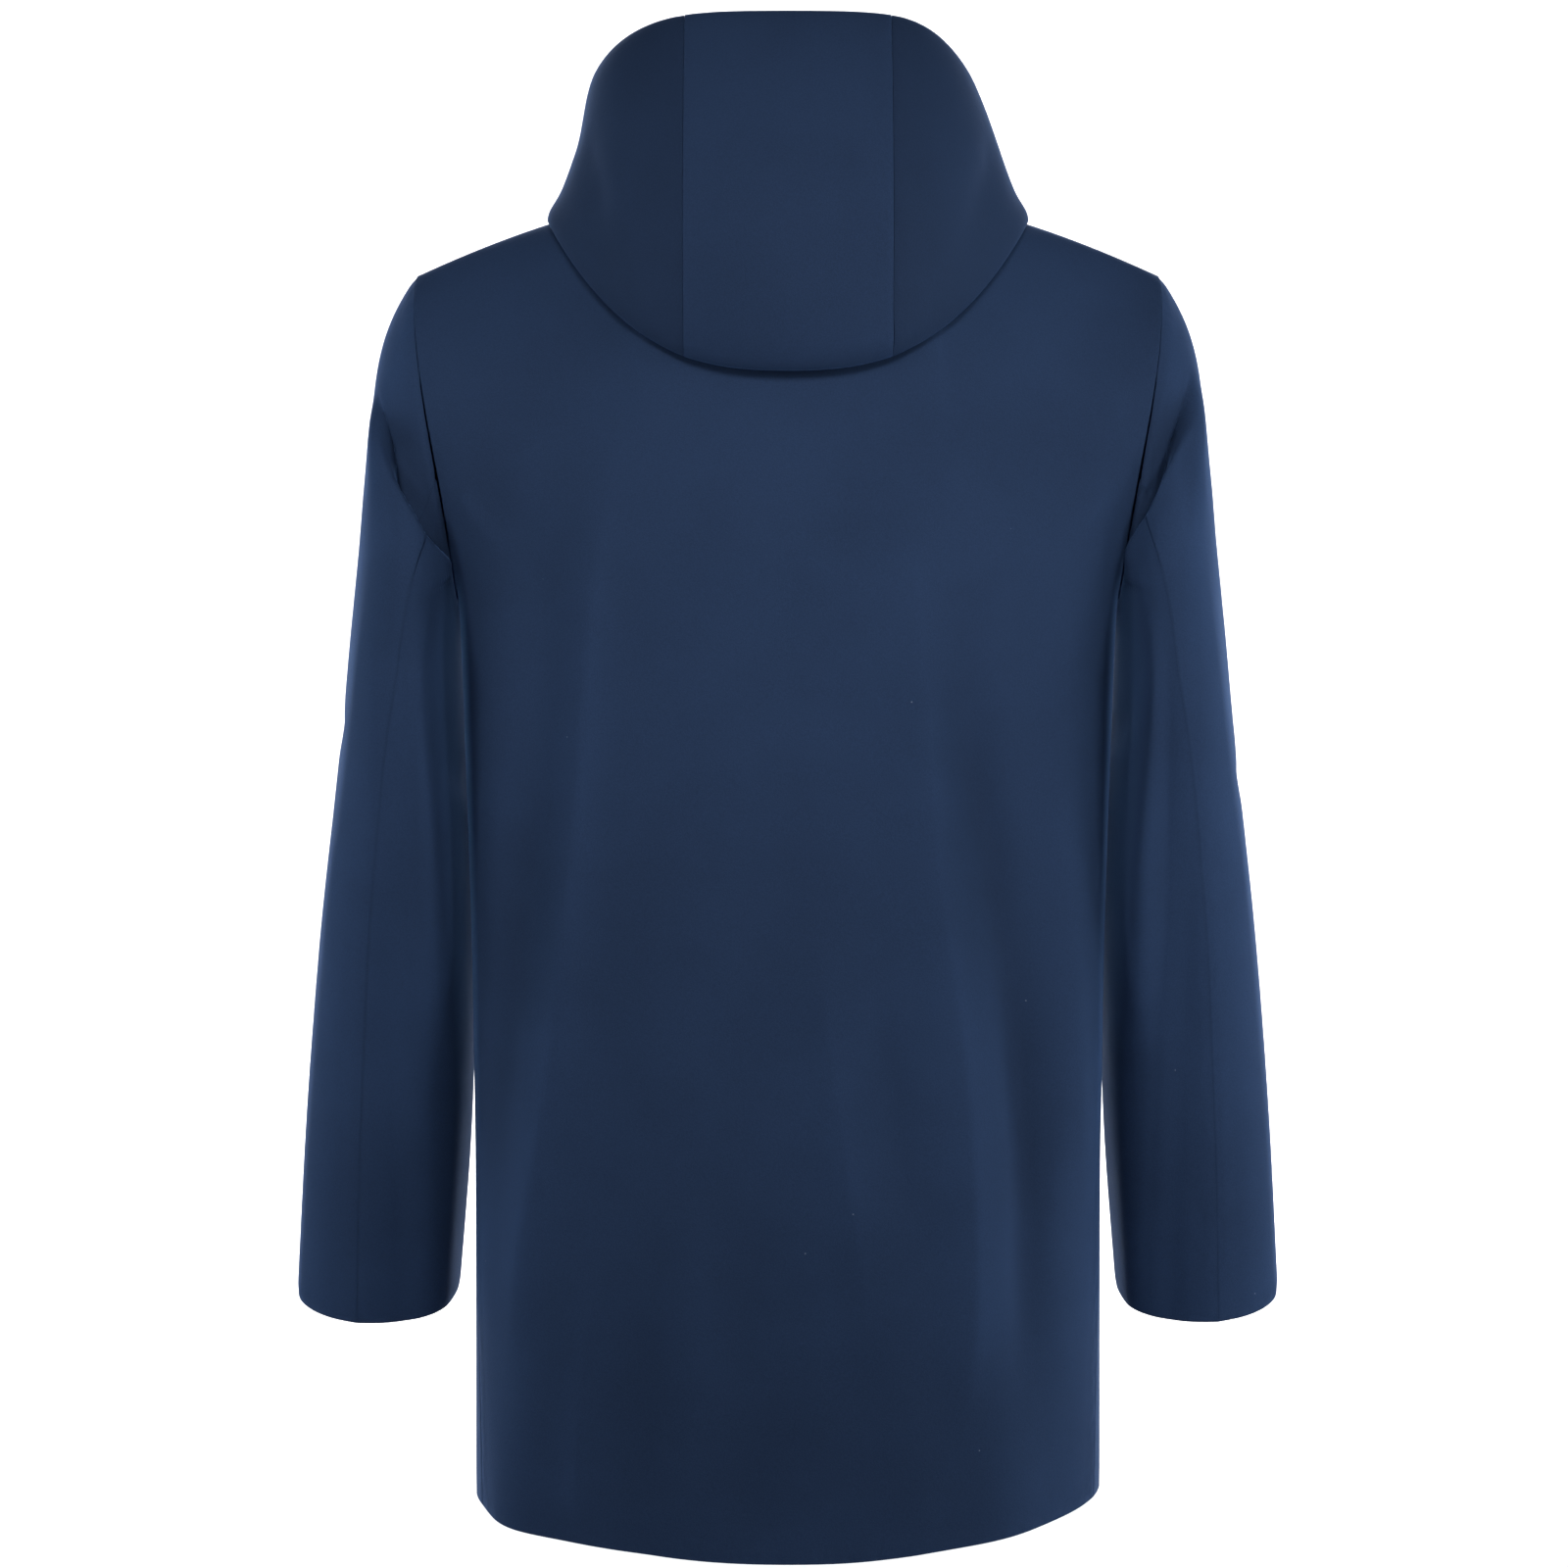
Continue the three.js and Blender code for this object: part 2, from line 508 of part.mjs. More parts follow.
// The closed front from the hem, at 0, over the neck seam, at 2, up the hood's edges, at x from the middle.
function frontEdge(x, up) {
  const [surface, range] = up > 2 ? [hood, FLY_ON_HOOD] : [front, FLY_ON_FRONT];
  const v = up > 2 ? up - 2 : up;
  return surface(columnAt(surface, v, range, x), v);
}

const hoodRowsOfFly = steps(HOOD_ROWS).filter((out) => out > 0 && out <= FLY.top);
const flyRows = [...bodyRows, ...hoodRowsOfFly.map((out) => 2 + out)];
const flyColumns = steps(FLY_COLUMNS, -FLY.halfWidth, FLY.halfWidth);

// ---- The parka ----

const frontRight = bodyPanel("front_right", front, -1, rightHalf);
const frontLeft = bodyPanel("front_left", front, -1, leftHalf);
const backPanel = bodyPanel("back_panel", backSeen, 1, [...rightHalf, ...leftHalf.slice(1)]);

const upperLeft = sleevePiece("sleeve_upper_left", FRONT_SEAM - 2 * ARMHOLE_ROWS, BACK_SEAM);
const underLeft = sleevePiece("sleeve_under_left", BACK_SEAM, FRONT_SEAM);

const hoodFrontColumns = steps(HOOD_COLUMNS.front, -1, 0).slice(0, -1);
const hoodSideColumns = [...hoodFrontColumns, ...steps(HOOD_COLUMNS.back, 0, 0.5)];
const hoodSide = hoodPiece("hood_side_left", hoodSideColumns);
const hoodCenter = hoodPiece("hood_center", steps(HOOD_COLUMNS.center, 0.5, 1.5));
const fly = wall("front_placket", frontEdge, flyColumns, flyRows, {
  thickness: FLY.thickness,
  lift: FLY.clearance + FLY.thickness,
});

const parka = new THREE.Group();
parka.add(backPanel, frontLeft, frontRight, fly, hoodCenter);
parka.add(hoodSide, opposite(hoodSide, "hood_side_right"));
parka.add(upperLeft, opposite(upperLeft, "sleeve_upper_right"));
parka.add(underLeft, opposite(underLeft, "sleeve_under_right"));
export default parka;
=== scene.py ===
"""Dresses the padded parka: each cut piece becomes a thin shell of navy soft-shell cloth on its solid.

The shells take the outside of the solids, get the creases that wearing puts in the garment, and are
turned in at their edges, where one piece is sewn to the next. Metres, +Z up, the garment's front faces -Y.
"""
import math

import bmesh
import bpy
import numpy as np
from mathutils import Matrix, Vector, kdtree


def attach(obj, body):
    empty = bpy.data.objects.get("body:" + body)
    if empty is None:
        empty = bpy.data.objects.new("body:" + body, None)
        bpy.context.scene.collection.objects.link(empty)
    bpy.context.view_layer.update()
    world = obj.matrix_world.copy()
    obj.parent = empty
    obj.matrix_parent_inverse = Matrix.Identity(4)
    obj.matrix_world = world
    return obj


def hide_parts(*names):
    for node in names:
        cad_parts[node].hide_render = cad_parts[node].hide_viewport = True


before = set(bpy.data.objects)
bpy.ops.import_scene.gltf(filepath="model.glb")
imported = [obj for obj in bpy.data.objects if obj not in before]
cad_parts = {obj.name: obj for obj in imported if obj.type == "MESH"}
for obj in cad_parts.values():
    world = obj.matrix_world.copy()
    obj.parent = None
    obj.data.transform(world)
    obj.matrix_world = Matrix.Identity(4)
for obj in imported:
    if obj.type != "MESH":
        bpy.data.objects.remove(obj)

bl_info = {
    "name": "Padded parka",
    "version": (1, 0, 0),
    "blender": (4, 5, 0),
    "location": "View3D > Sidebar > Parka",
    "description": "Dresses the padded parka's solids in soft-shell cloth and sets its studio",
    "category": "Object",
}

SAME_POINT = 6e-5  # metres within which two corners of a solid are one
RIM_ANGLE = math.radians(50)  # sharper edges part a wall's outside from its rim
QUAD_ANGLE = math.pi  # joins the triangles of a grid whatever its shape
SEAM_SAMPLE = 0.002  # metres between the points by which distance to a seam is felt
ARMHOLE_SAMPLES = 8  # points on each edge of the body by which the armhole is found
SEWN_WITHIN = 0.003  # metres between the edges of two pieces that are sewn together

# The pieces as they are cut: name, the solid it stands for, flat width and length in metres, area in square
# metres, its share of the seams' dip and painted shade, its painted light, and how often its grid is halved.
BODY_PIECES = [
    {"name": "back_cloth", "node": "back_panel",
     "flat": (0.567, 0.912), "area": 0.4416, "dip": 0.2, "nap": 0.95, "fine": 3},
    {"name": "front_left_cloth", "node": "front_left",
     "flat": (0.325, 0.901), "area": 0.2414, "dip": 0.2, "nap": 1.0, "fine": 2},
    {"name": "front_right_cloth", "node": "front_right",
     "flat": (0.325, 0.901), "area": 0.2411, "dip": 0.2, "nap": 0.98, "fine": 2},
]
FLY_PIECES = [
    {"name": "placket_cloth", "node": "front_placket",
     "flat": (0.059, 0.885), "area": 0.0478, "dip": 0.3, "nap": 1.0, "fine": 2},
]
SLEEVE_PARTS = {
    "upper": {"flat": (0.313, 0.695), "area": 0.1487, "dip": 0.7, "nap": 1.07, "fine": 3},
    "under": {"flat": (0.211, 0.588), "area": 0.0947, "dip": 0.6, "nap": 1.04, "fine": 3},
}
SLEEVE_PIECES = [
    {"name": f"sleeve_{part}_{side}_cloth", "node": f"sleeve_{part}_{side}", **cut}
    for side in ("left", "right")
    for part, cut in SLEEVE_PARTS.items()
]
HOOD_PIECES = [
    {"name": "hood_center_cloth", "node": "hood_center",
     "flat": (0.147, 0.414), "area": 0.0552, "dip": 0.25, "nap": 0.9, "fine": 2},
    {"name": "hood_left_cloth", "node": "hood_side_left",
     "flat": (0.379, 0.405), "area": 0.0643, "dip": 0.5, "nap": 0.68, "fine": 2},
    {"name": "hood_right_cloth", "node": "hood_side_right",
     "flat": (0.379, 0.405), "area": 0.0643, "dip": 0.35, "nap": 0.68, "fine": 2},
]

# Creases, in millimetres. Each runs down through its points on the side that it faces: across and
# up for back and front, to the back and up for the sides. height is above the cloth, or below it if
# negative. left and right are its widths as seen along it from top to bottom, looking at the cloth. start
# and end are the shares of its length over which it rises and fades.
BODY_CREASES = [
    # the ridge from the left shoulder blade to the hem, with the hollow outside it
    {"faces": "back",
     "path": [(106, -140), (123, -255), (128, -346), (138, -450), (153, -580), (175, -710), (186, -800)],
     "height": 6.8, "left": 12, "right": 21, "start": 0.25, "end": 0.2},
    {"faces": "back", "path": [(158, -300), (166, -360), (175, -450), (187, -580), (196, -700)],
     "height": -4.9, "left": 15, "right": 13, "start": 0.35, "end": 0.35},
    # the right ridge, its hollow and the lower ridge beyond it
    {"faces": "back",
     "path": [(-70, -150), (-79, -255), (-88, -346), (-96, -450), (-113, -580), (-118, -710), (-110, -820)],
     "height": 6.2, "left": 13, "right": 34, "start": 0.3, "end": 0.15},
    {"faces": "back",
     "path": [(-106, -230), (-117, -346), (-137, -450), (-152, -580), (-155, -710), (-152, -810)],
     "height": -8.0, "left": 16, "right": 14, "start": 0.3, "end": 0.25},
    {"faces": "back", "path": [(-164, -330), (-182, -450), (-190, -580), (-193, -700)],
     "height": 2.7, "left": 11, "right": 13, "start": 0.4, "end": 0.4},
    # the short one between them, with its hollow
    {"faces": "back", "path": [(-14, -430), (-28, -560), (-46, -680), (-58, -760)],
     "height": 4.3, "left": 13, "right": 26, "start": 0.45, "end": 0.4},
    {"faces": "back", "path": [(-48, -470), (-64, -580), (-80, -690)],
     "height": -3.0, "left": 14, "right": 14, "start": 0.45, "end": 0.45},
    # the soft hollows above the hem
    {"faces": "back", "path": [(46, -540), (36, -650), (28, -760), (24, -860)],
     "height": -4.1, "left": 38, "right": 30, "start": 0.5, "end": 0.1},
    {"faces": "back", "path": [(84, -600), (92, -720), (96, -850)],
     "height": -3.2, "left": 16, "right": 22, "start": 0.5, "end": 0.1},
    {"faces": "back", "path": [(118, -660), (130, -760), (138, -855)],
     "height": 3.0, "left": 15, "right": 12, "start": 0.5, "end": 0.1},
    # drag lines from the armholes
    {"faces": "back", "path": [(214, -190), (196, -214), (170, -232)],
     "height": 2.2, "left": 7, "right": 9, "start": 0.1, "end": 0.6},
    {"faces": "back", "path": [(-212, -182), (-190, -214), (-160, -240)],
     "height": 2.0, "left": 9, "right": 7, "start": 0.1, "end": 0.6},
    # the front, alike and uneven
    {"faces": "front", "path": [(92, -200), (104, -330), (112, -470), (120, -610), (128, -800)],
     "height": 3.8, "left": 19, "right": 13, "start": 0.3, "end": 0.15},
    {"faces": "front", "path": [(154, -350), (166, -470), (172, -600), (176, -730)],
     "height": -4.9, "left": 17, "right": 15, "start": 0.4, "end": 0.35},
    {"faces": "front", "path": [(60, -430), (54, -540), (50, -660)],
     "height": 2.4, "left": 15, "right": 12, "start": 0.45, "end": 0.4},
    {"faces": "front", "path": [(-96, -220), (-110, -350), (-122, -480), (-131, -620), (-138, -810)],
     "height": 3.5, "left": 13, "right": 20, "start": 0.3, "end": 0.15},
    {"faces": "front", "path": [(-158, -400), (-168, -520), (-176, -660)],
     "height": -4.6, "left": 15, "right": 17, "start": 0.4, "end": 0.4},
    {"faces": "front", "path": [(-62, -500), (-66, -610), (-74, -720)],
     "height": 2.2, "left": 12, "right": 15, "start": 0.45, "end": 0.4},
    {"faces": "front", "path": [(210, -178), (188, -206), (160, -226)],
     "height": 2.2, "left": 8, "right": 7, "start": 0.1, "end": 0.6},
    {"faces": "front", "path": [(-208, -186), (-184, -208), (-150, -222)],
     "height": 2.0, "left": 7, "right": 8, "start": 0.1, "end": 0.6},
]
SLEEVE_CREASES = [
    # long soft hollows down the backs of the arms
    {"faces": "back", "path": [(232, -300), (238, -380), (246, -470), (254, -560)],
     "height": -2.0, "left": 12, "right": 14, "start": 0.35, "end": 0.5},
    {"faces": "back", "path": [(290, -330), (297, -450), (304, -570)],
     "height": 1.4, "left": 14, "right": 12, "start": 0.5, "end": 0.5},
    {"faces": "back", "path": [(-232, -310), (-240, -400), (-250, -500), (-258, -590)],
     "height": -2.0, "left": 14, "right": 12, "start": 0.35, "end": 0.5},
    {"faces": "back", "path": [(-286, -300), (-294, -420), (-300, -540)],
     "height": 1.5, "left": 12, "right": 15, "start": 0.5, "end": 0.5},
    # the elbows
    {"faces": "back", "path": [(262, -392), (284, -408), (306, -410)],
     "height": -1.3, "left": 10, "right": 8, "start": 0.4, "end": 0.5},
    {"faces": "back", "path": [(-258, -420), (-280, -436), (-304, -436)],
     "height": -1.2, "left": 8, "right": 10, "start": 0.4, "end": 0.5},
    {"faces": "back", "path": [(268, -640), (296, -652), (322, -648)],
     "height": -1.1, "left": 10, "right": 9, "start": 0.4, "end": 0.5},
    {"faces": "back", "path": [(-262, -668), (-290, -678), (-318, -672)],
     "height": -1.1, "left": 9, "right": 11, "start": 0.4, "end": 0.5},
    # the bends at the front of the arms
    {"faces": "front", "path": [(236, -205), (256, -224), (284, -232), (308, -226)],
     "height": -3.0, "left": 11, "right": 7, "start": 0.3, "end": 0.4},
    {"faces": "front", "path": [(232, -345), (258, -372), (290, -380), (312, -372)],
     "height": -2.6, "left": 12, "right": 8, "start": 0.35, "end": 0.4},
    {"faces": "front", "path": [(240, -402), (262, -424), (292, -436)],
     "height": -2.0, "left": 10, "right": 8, "start": 0.4, "end": 0.5},
    {"faces": "front", "path": [(-236, -212), (-258, -232), (-286, -236), (-308, -230)],
     "height": -2.8, "left": 7, "right": 11, "start": 0.3, "end": 0.4},
    {"faces": "front", "path": [(-232, -356), (-256, -386), (-288, -394), (-312, -384)],
     "height": -2.7, "left": 8, "right": 12, "start": 0.35, "end": 0.4},
    {"faces": "front", "path": [(-244, -420), (-268, -438), (-298, -446)],
     "height": -1.8, "left": 8, "right": 11, "start": 0.4, "end": 0.5},
    # the outsides, to the back and up
    {"faces": "left", "path": [(40, -330), (8, -350), (-30, -352)],
     "height": -1.6, "left": 9, "right": 12, "start": 0.4, "end": 0.4},
    {"faces": "left", "path": [(-20, -180), (-34, -300), (-44, -420)],
     "height": 1.8, "left": 20, "right": 24, "start": 0.5, "end": 0.5},
    {"faces": "right", "path": [(36, -362), (4, -384), (-34, -380)],
     "height": -1.6, "left": 12, "right": 9, "start": 0.4, "end": 0.4},
    {"faces": "right", "path": [(-16, -190), (-30, -310), (-46, -440)],
     "height": 1.8, "left": 24, "right": 20, "start": 0.5, "end": 0.5},
]
# Behind each armhole the full lower sleeve laps over the hollow beside the seam. Widths and heights are in
# millimetres.
FOLD_FORM = {
    "faces": "back",
    "rise": 5, "full": 16,  # height of the full side, and how far that reaches
    "sink": 4,  # depth of the hollow side
    "lap": 3, "lap_width": 16,  # how far the cloth is pushed over, and how much of it goes with it
    "step": 1.6,  # half the width of the turn
    "cut": 6, "cut_at": 1, "cut_width": 2.4,  # the furrow under the turn: depth, place and width
    "shade": 0.26,  # how much darker the hollow is painted, as shade
    "start": 0.35, "end": 0.01,
}
SLEEVE_FOLDS = [
    {"laps": "left", "hollow": 30, **FOLD_FORM,
     "path": [(271, -118), (269, -132), (266, -147), (261, -164), (254, -184), (243, -204), (231, -224),
              (214, -243)]},
    {"laps": "right", "hollow": 28, **FOLD_FORM,
     "path": [(-263, -110), (-262, -122), (-261, -134), (-258, -147), (-252, -162), (-244, -181),
              (-236, -200), (-225, -220), (-211, -246)]},
]
HOOD_CREASES = [
    {"faces": "back", "path": [(128, 20), (120, -30), (104, -70)],
     "height": -1.8, "left": 10, "right": 16, "start": 0.4, "end": 0.4},
    {"faces": "back", "path": [(-122, 26), (-118, -24), (-104, -66)],
     "height": -1.6, "left": 16, "right": 10, "start": 0.4, "end": 0.4},
    {"faces": "back", "path": [(-92, -76), (-60, -96), (-24, -104)],
     "height": 1.2, "left": 9, "right": 7, "start": 0.4, "end": 0.4},
    {"faces": "left", "path": [(40, 40), (70, 10), (92, -30)],
     "height": -2.4, "left": 12, "right": 16, "start": 0.4, "end": 0.4},
    {"faces": "right", "path": [(36, 44), (64, 8), (88, -34)],
     "height": -2.2, "left": 16, "right": 12, "start": 0.4, "end": 0.4},
]
# Where the cloth sits unevenly, in millimetres: each row moves the cloth by its move, from nothing at the
# first to all of it at the second value across, back and up. A row with faces moves only that side.
BODY_SWELLS = [
    # the hem sits higher on the right
    {"across": (-30, -185), "up": (-700, -870), "move": (0, 0, 5.5)},
    # beside the arms the back stays flat nearly to its turn
    {"across": (150, 208), "back": (12, 44), "up": (-170, -330), "move": (0, 20, 0)},
    {"across": (150, 208), "back": (12, 44), "up": (-540, -690), "move": (0, -20, 0)},
    {"across": (-150, -208), "back": (12, 44), "up": (-170, -330), "move": (0, 20, 0)},
    {"across": (-150, -208), "back": (12, 44), "up": (-540, -690), "move": (0, -20, 0)},
]
SLEEVE_SWELLS = [
    # the sleeves lie full and flat beside the body, the right one more so
    {"faces": "back", "across": (262, 234), "up": (-215, -330), "move": (0, 7, 0)},
    {"faces": "back", "across": (244, 222), "up": (-225, -320), "move": (0, 18, 0)},
    {"faces": "back", "across": (244, 222), "up": (-440, -600), "move": (0, -16, 0)},
    {"faces": "back", "across": (-262, -234), "up": (-215, -330), "move": (0, 7, 0)},
    {"faces": "back", "across": (-244, -222), "up": (-225, -320), "move": (0, 21, 0)},
    {"faces": "back", "across": (-244, -222), "up": (-440, -600), "move": (0, -15, 0)},
    # and round outside the fold behind the armhole
    {"across": (256, 272), "back": (4, 22), "up": (-108, -150), "move": (0, 9, 0)},
    {"across": (256, 272), "back": (4, 22), "up": (-190, -240), "move": (0, -9, 0)},
    {"across": (-254, -270), "back": (4, 22), "up": (-98, -138), "move": (0, 9, 0)},
    {"across": (-254, -270), "back": (4, 22), "up": (-185, -235), "move": (0, -9, 0)},
]
HOOD_SWELLS = [
    # the hood's left side stands out more than its right
    {"across": (64, 112), "up": (28, 84), "move": (8, 0, 0)},
]
FACING = {  # direction that a crease's side faces, and the axes of its points
    "back": {"way": (0, 1, 0), "across": (1, 0, 0), "hand": -1},
    "front": {"way": (0, -1, 0), "across": (1, 0, 0), "hand": 1},
    "left": {"way": (1, 0, 0), "across": (0, 1, 0), "hand": 1},
    "right": {"way": (-1, 0, 0), "across": (0, 1, 0), "hand": -1},
}
TURNED_AWAY, FACED = 0.05, 0.5  # cosines between which a crease fades in as the cloth turns to its side
CREASE_STEPS = 24  # stretches that a crease's curve is worked out in
CREST, TROUGH = 1.45, 2.0  # powers of a ridge's and a hollow's section: 2 is soft, less is sharper
CREST_HEIGHT = 0.006  # metres of height that a usual ridge has
PAINTED_LIGHT_ON_CRESTS = 0.11  # share of painted highlight on such a ridge, and of painted shade in a hollow
PAINTED_LIGHT_REACH = 1.3  # usual ridges' heights beyond which the painted highlight and shade stop growing
FULL_PAINTED_LIGHT = 1.3  # lightest that the painted light can make the cloth
FOLD_CLEAR = 0.009  # metres from the armhole within which a lapping fold fades out
SPECK_SPACING, SPECK_RADIUS = 0.021, 0.000462  # metres, of the light specks on the cloth
SEAM_LINE, PUCKERED = 0.002, 0.016  # metres beside a seam that get painted shade, and that are puckered
CLOUDS, RUMPLES, PUCKERS = 0.14, 0.035, 0.011  # metres across the nap's patches, the rumples and the puckers


def colour(red, green, blue):
    """A colour given as it looks on a screen, 0 to 255, in scene values."""
    shares = (red / 255, green / 255, blue / 255)
    return tuple(((share + 0.055) / 1.055) ** 2.4 if share > 0.04 else share / 12.92 for share in shares)


class ParkaCloth(bpy.types.PropertyGroup):
    """Sizes and colours of the cloth."""

    thickness: bpy.props.FloatProperty(
        name="Thickness", description="Thickness of the shell that shows",
        default=0.0024, min=0.001, max=0.003, unit="LENGTH",
    )
    turn_in: bpy.props.FloatProperty(
        name="Turn-in", description="How far the cloth dips at a seam",
        default=0.001, min=0, max=0.003, unit="LENGTH",
    )
    turn_in_width: bpy.props.FloatProperty(
        name="Turn-in width", description="Width of the dip beside a seam",
        default=0.004, min=0.001, max=0.02, unit="LENGTH",
    )
    rounding: bpy.props.FloatProperty(
        name="Rounding", description="How far the edges of the cloth are rounded",
        default=0.0005, min=0, max=0.0015, unit="LENGTH",
    )
    crease_strength: bpy.props.FloatProperty(
        name="Creases", description="How much of the creases' height is used",
        default=1.0, min=0, max=1.5, subtype="FACTOR",
    )
    shell: bpy.props.FloatVectorProperty(
        name="Shell", description="Colour of the outside of the cloth",
        default=colour(36, 53, 81), min=0, max=1, size=3, subtype="COLOR",
    )
    lining: bpy.props.FloatVectorProperty(
        name="Lining", description="Colour of the inside of the cloth",
        default=colour(27, 36, 54), min=0, max=1, size=3, subtype="COLOR",
    )
    sheen: bpy.props.FloatProperty(
        name="Sheen", description="Brightness of the nap at the cloth's outline",
        default=0.22, min=0, max=1, subtype="FACTOR",
    )
    grain: bpy.props.FloatProperty(
        name="Grain", description="Size of the knit's grain",
        default=0.0009, min=0.0002, max=0.004, unit="LENGTH",
    )


class ParkaStudio(bpy.types.PropertyGroup):
    """The room, lights and camera."""

    backdrop: bpy.props.FloatVectorProperty(
        name="Backdrop", description="Colour of the floor and backdrop",
        default=(0.92, 0.92, 0.93), min=0, max=1, size=3, subtype="COLOR",
    )
    floor_height: bpy.props.FloatProperty(
        name="Floor", description="Height of the floor", default=-1.32, unit="LENGTH",
    )
    sky: bpy.props.FloatProperty(
        name="Sky", description="Strength of the light from all round", default=0.06, min=0, max=2,
    )
    camera_distance: bpy.props.FloatProperty(
        name="Camera distance", description="Distance of the camera behind the garment",
        default=2.5, min=1, max=10, unit="LENGTH",
    )
    camera_height: bpy.props.FloatProperty(
        name="Camera height", description="Height of the camera", default=-0.19, unit="LENGTH",
    )
    camera_side: bpy.props.FloatProperty(
        name="Camera to the left", description="How far the camera stands to the wearer's left",
        default=0.0026, unit="LENGTH",
    )
    aim_height: bpy.props.FloatProperty(
        name="Aim", description="Height that the camera points at", default=-0.385, unit="LENGTH",
    )
    lens: bpy.props.FloatProperty(
        name="Lens", description="Focal length of the camera, in millimetres",
        default=86.8, min=20, max=300, unit="CAMERA",
    )


# ---- Shader nodes ----


class Value:
    """A number that changes over the surface. Sums and products of such values add Math nodes."""

    def __init__(self, material, socket):
        self.material = material
        self.socket = socket

    def maths(self, operation, *values):
        inputs = dict(enumerate(values))
        node = self.material.add("ShaderNodeMath", {"operation": operation}, inputs)
        return Value(self.material, node.outputs[0])

    def __add__(self, other):
        return self.maths("ADD", self, other)

    def __radd__(self, other):
        return self.maths("ADD", other, self)

    def __rsub__(self, other):
        return self.maths("SUBTRACT", other, self)

    def __mul__(self, other):
        return self.maths("MULTIPLY", self, other)

    def __gt__(self, other):
        return self.maths("GREATER_THAN", self, other)

    def __lt__(self, other):
        return self.maths("LESS_THAN", self, other)

    def between(self, low, high):
        """0 below low, 1 above high, smooth on the way."""
        inputs = {"Value": self, "From Min": low, "From Max": high}
        node = self.material.add("ShaderNodeMapRange", {"interpolation_type": "SMOOTHSTEP"}, inputs)
        return Value(self.material, node.outputs["Result"])


class Material:
    """A material and the one way by which nodes are added to it."""

    def __init__(self, name):
        self.data = bpy.data.materials.new(name)
        self.data.use_nodes = True
        self.tree = self.data.node_tree
        self.surface = next(n for n in self.tree.nodes if n.type == "BSDF_PRINCIPLED")
        self.place = self.add("ShaderNodeTexCoord").outputs["Object"]

    def add(self, kind, settings=None, inputs=None):
        node = self.tree.nodes.new(kind)
        for name, value in (settings or {}).items():
            setattr(node, name, value)
        for key, value in (inputs or {}).items():
            self.feed(node.inputs[key], value)
        return node

    def feed(self, socket, value):
        source = value.socket if isinstance(value, Value) else value
        if isinstance(source, bpy.types.NodeSocket):
            self.tree.links.new(source, socket)
        else:
            socket.default_value = source

    def noise(self, size, detail=2.0, roughness=0.5):
        inputs = {"Vector": self.place, "Scale": 1 / size, "Detail": detail, "Roughness": roughness}
        return Value(self, self.add("ShaderNodeTexNoise", None, inputs).outputs["Fac"])

    def attribute(self, name):
        node = self.add("ShaderNodeAttribute", {"attribute_name": name})
        return Value(self, node.outputs["Fac"])

    def mixed(self, first, second, share):
        """The colour between two, by a share from 0 to 1."""
        node = self.add("ShaderNodeMix", {"data_type": "RGBA"})
        self.feed(node.inputs["Factor"], share)
        for socket, shade in ((6, first), (7, second)):  # its colours come after its numbers and vectors
            self.feed(node.inputs[socket], shade)
        return node.outputs[2]

    def bump(self, height, distance, strength=1.0, over=None):
        inputs = {"Height": height, "Distance": distance, "Strength": strength}
        if over:
            inputs["Normal"] = over
        return self.add("ShaderNodeBump", None, inputs).outputs["Normal"]

    def finish(self, **sockets):
        for name, value in sockets.items():
            self.feed(self.surface.inputs[name.replace("_", " ")], value)
        return self.data


def tinted(base, factor):
    """A colour made lighter or darker."""
    return (*(min(c * factor, 1.0) for c in base), 1.0)


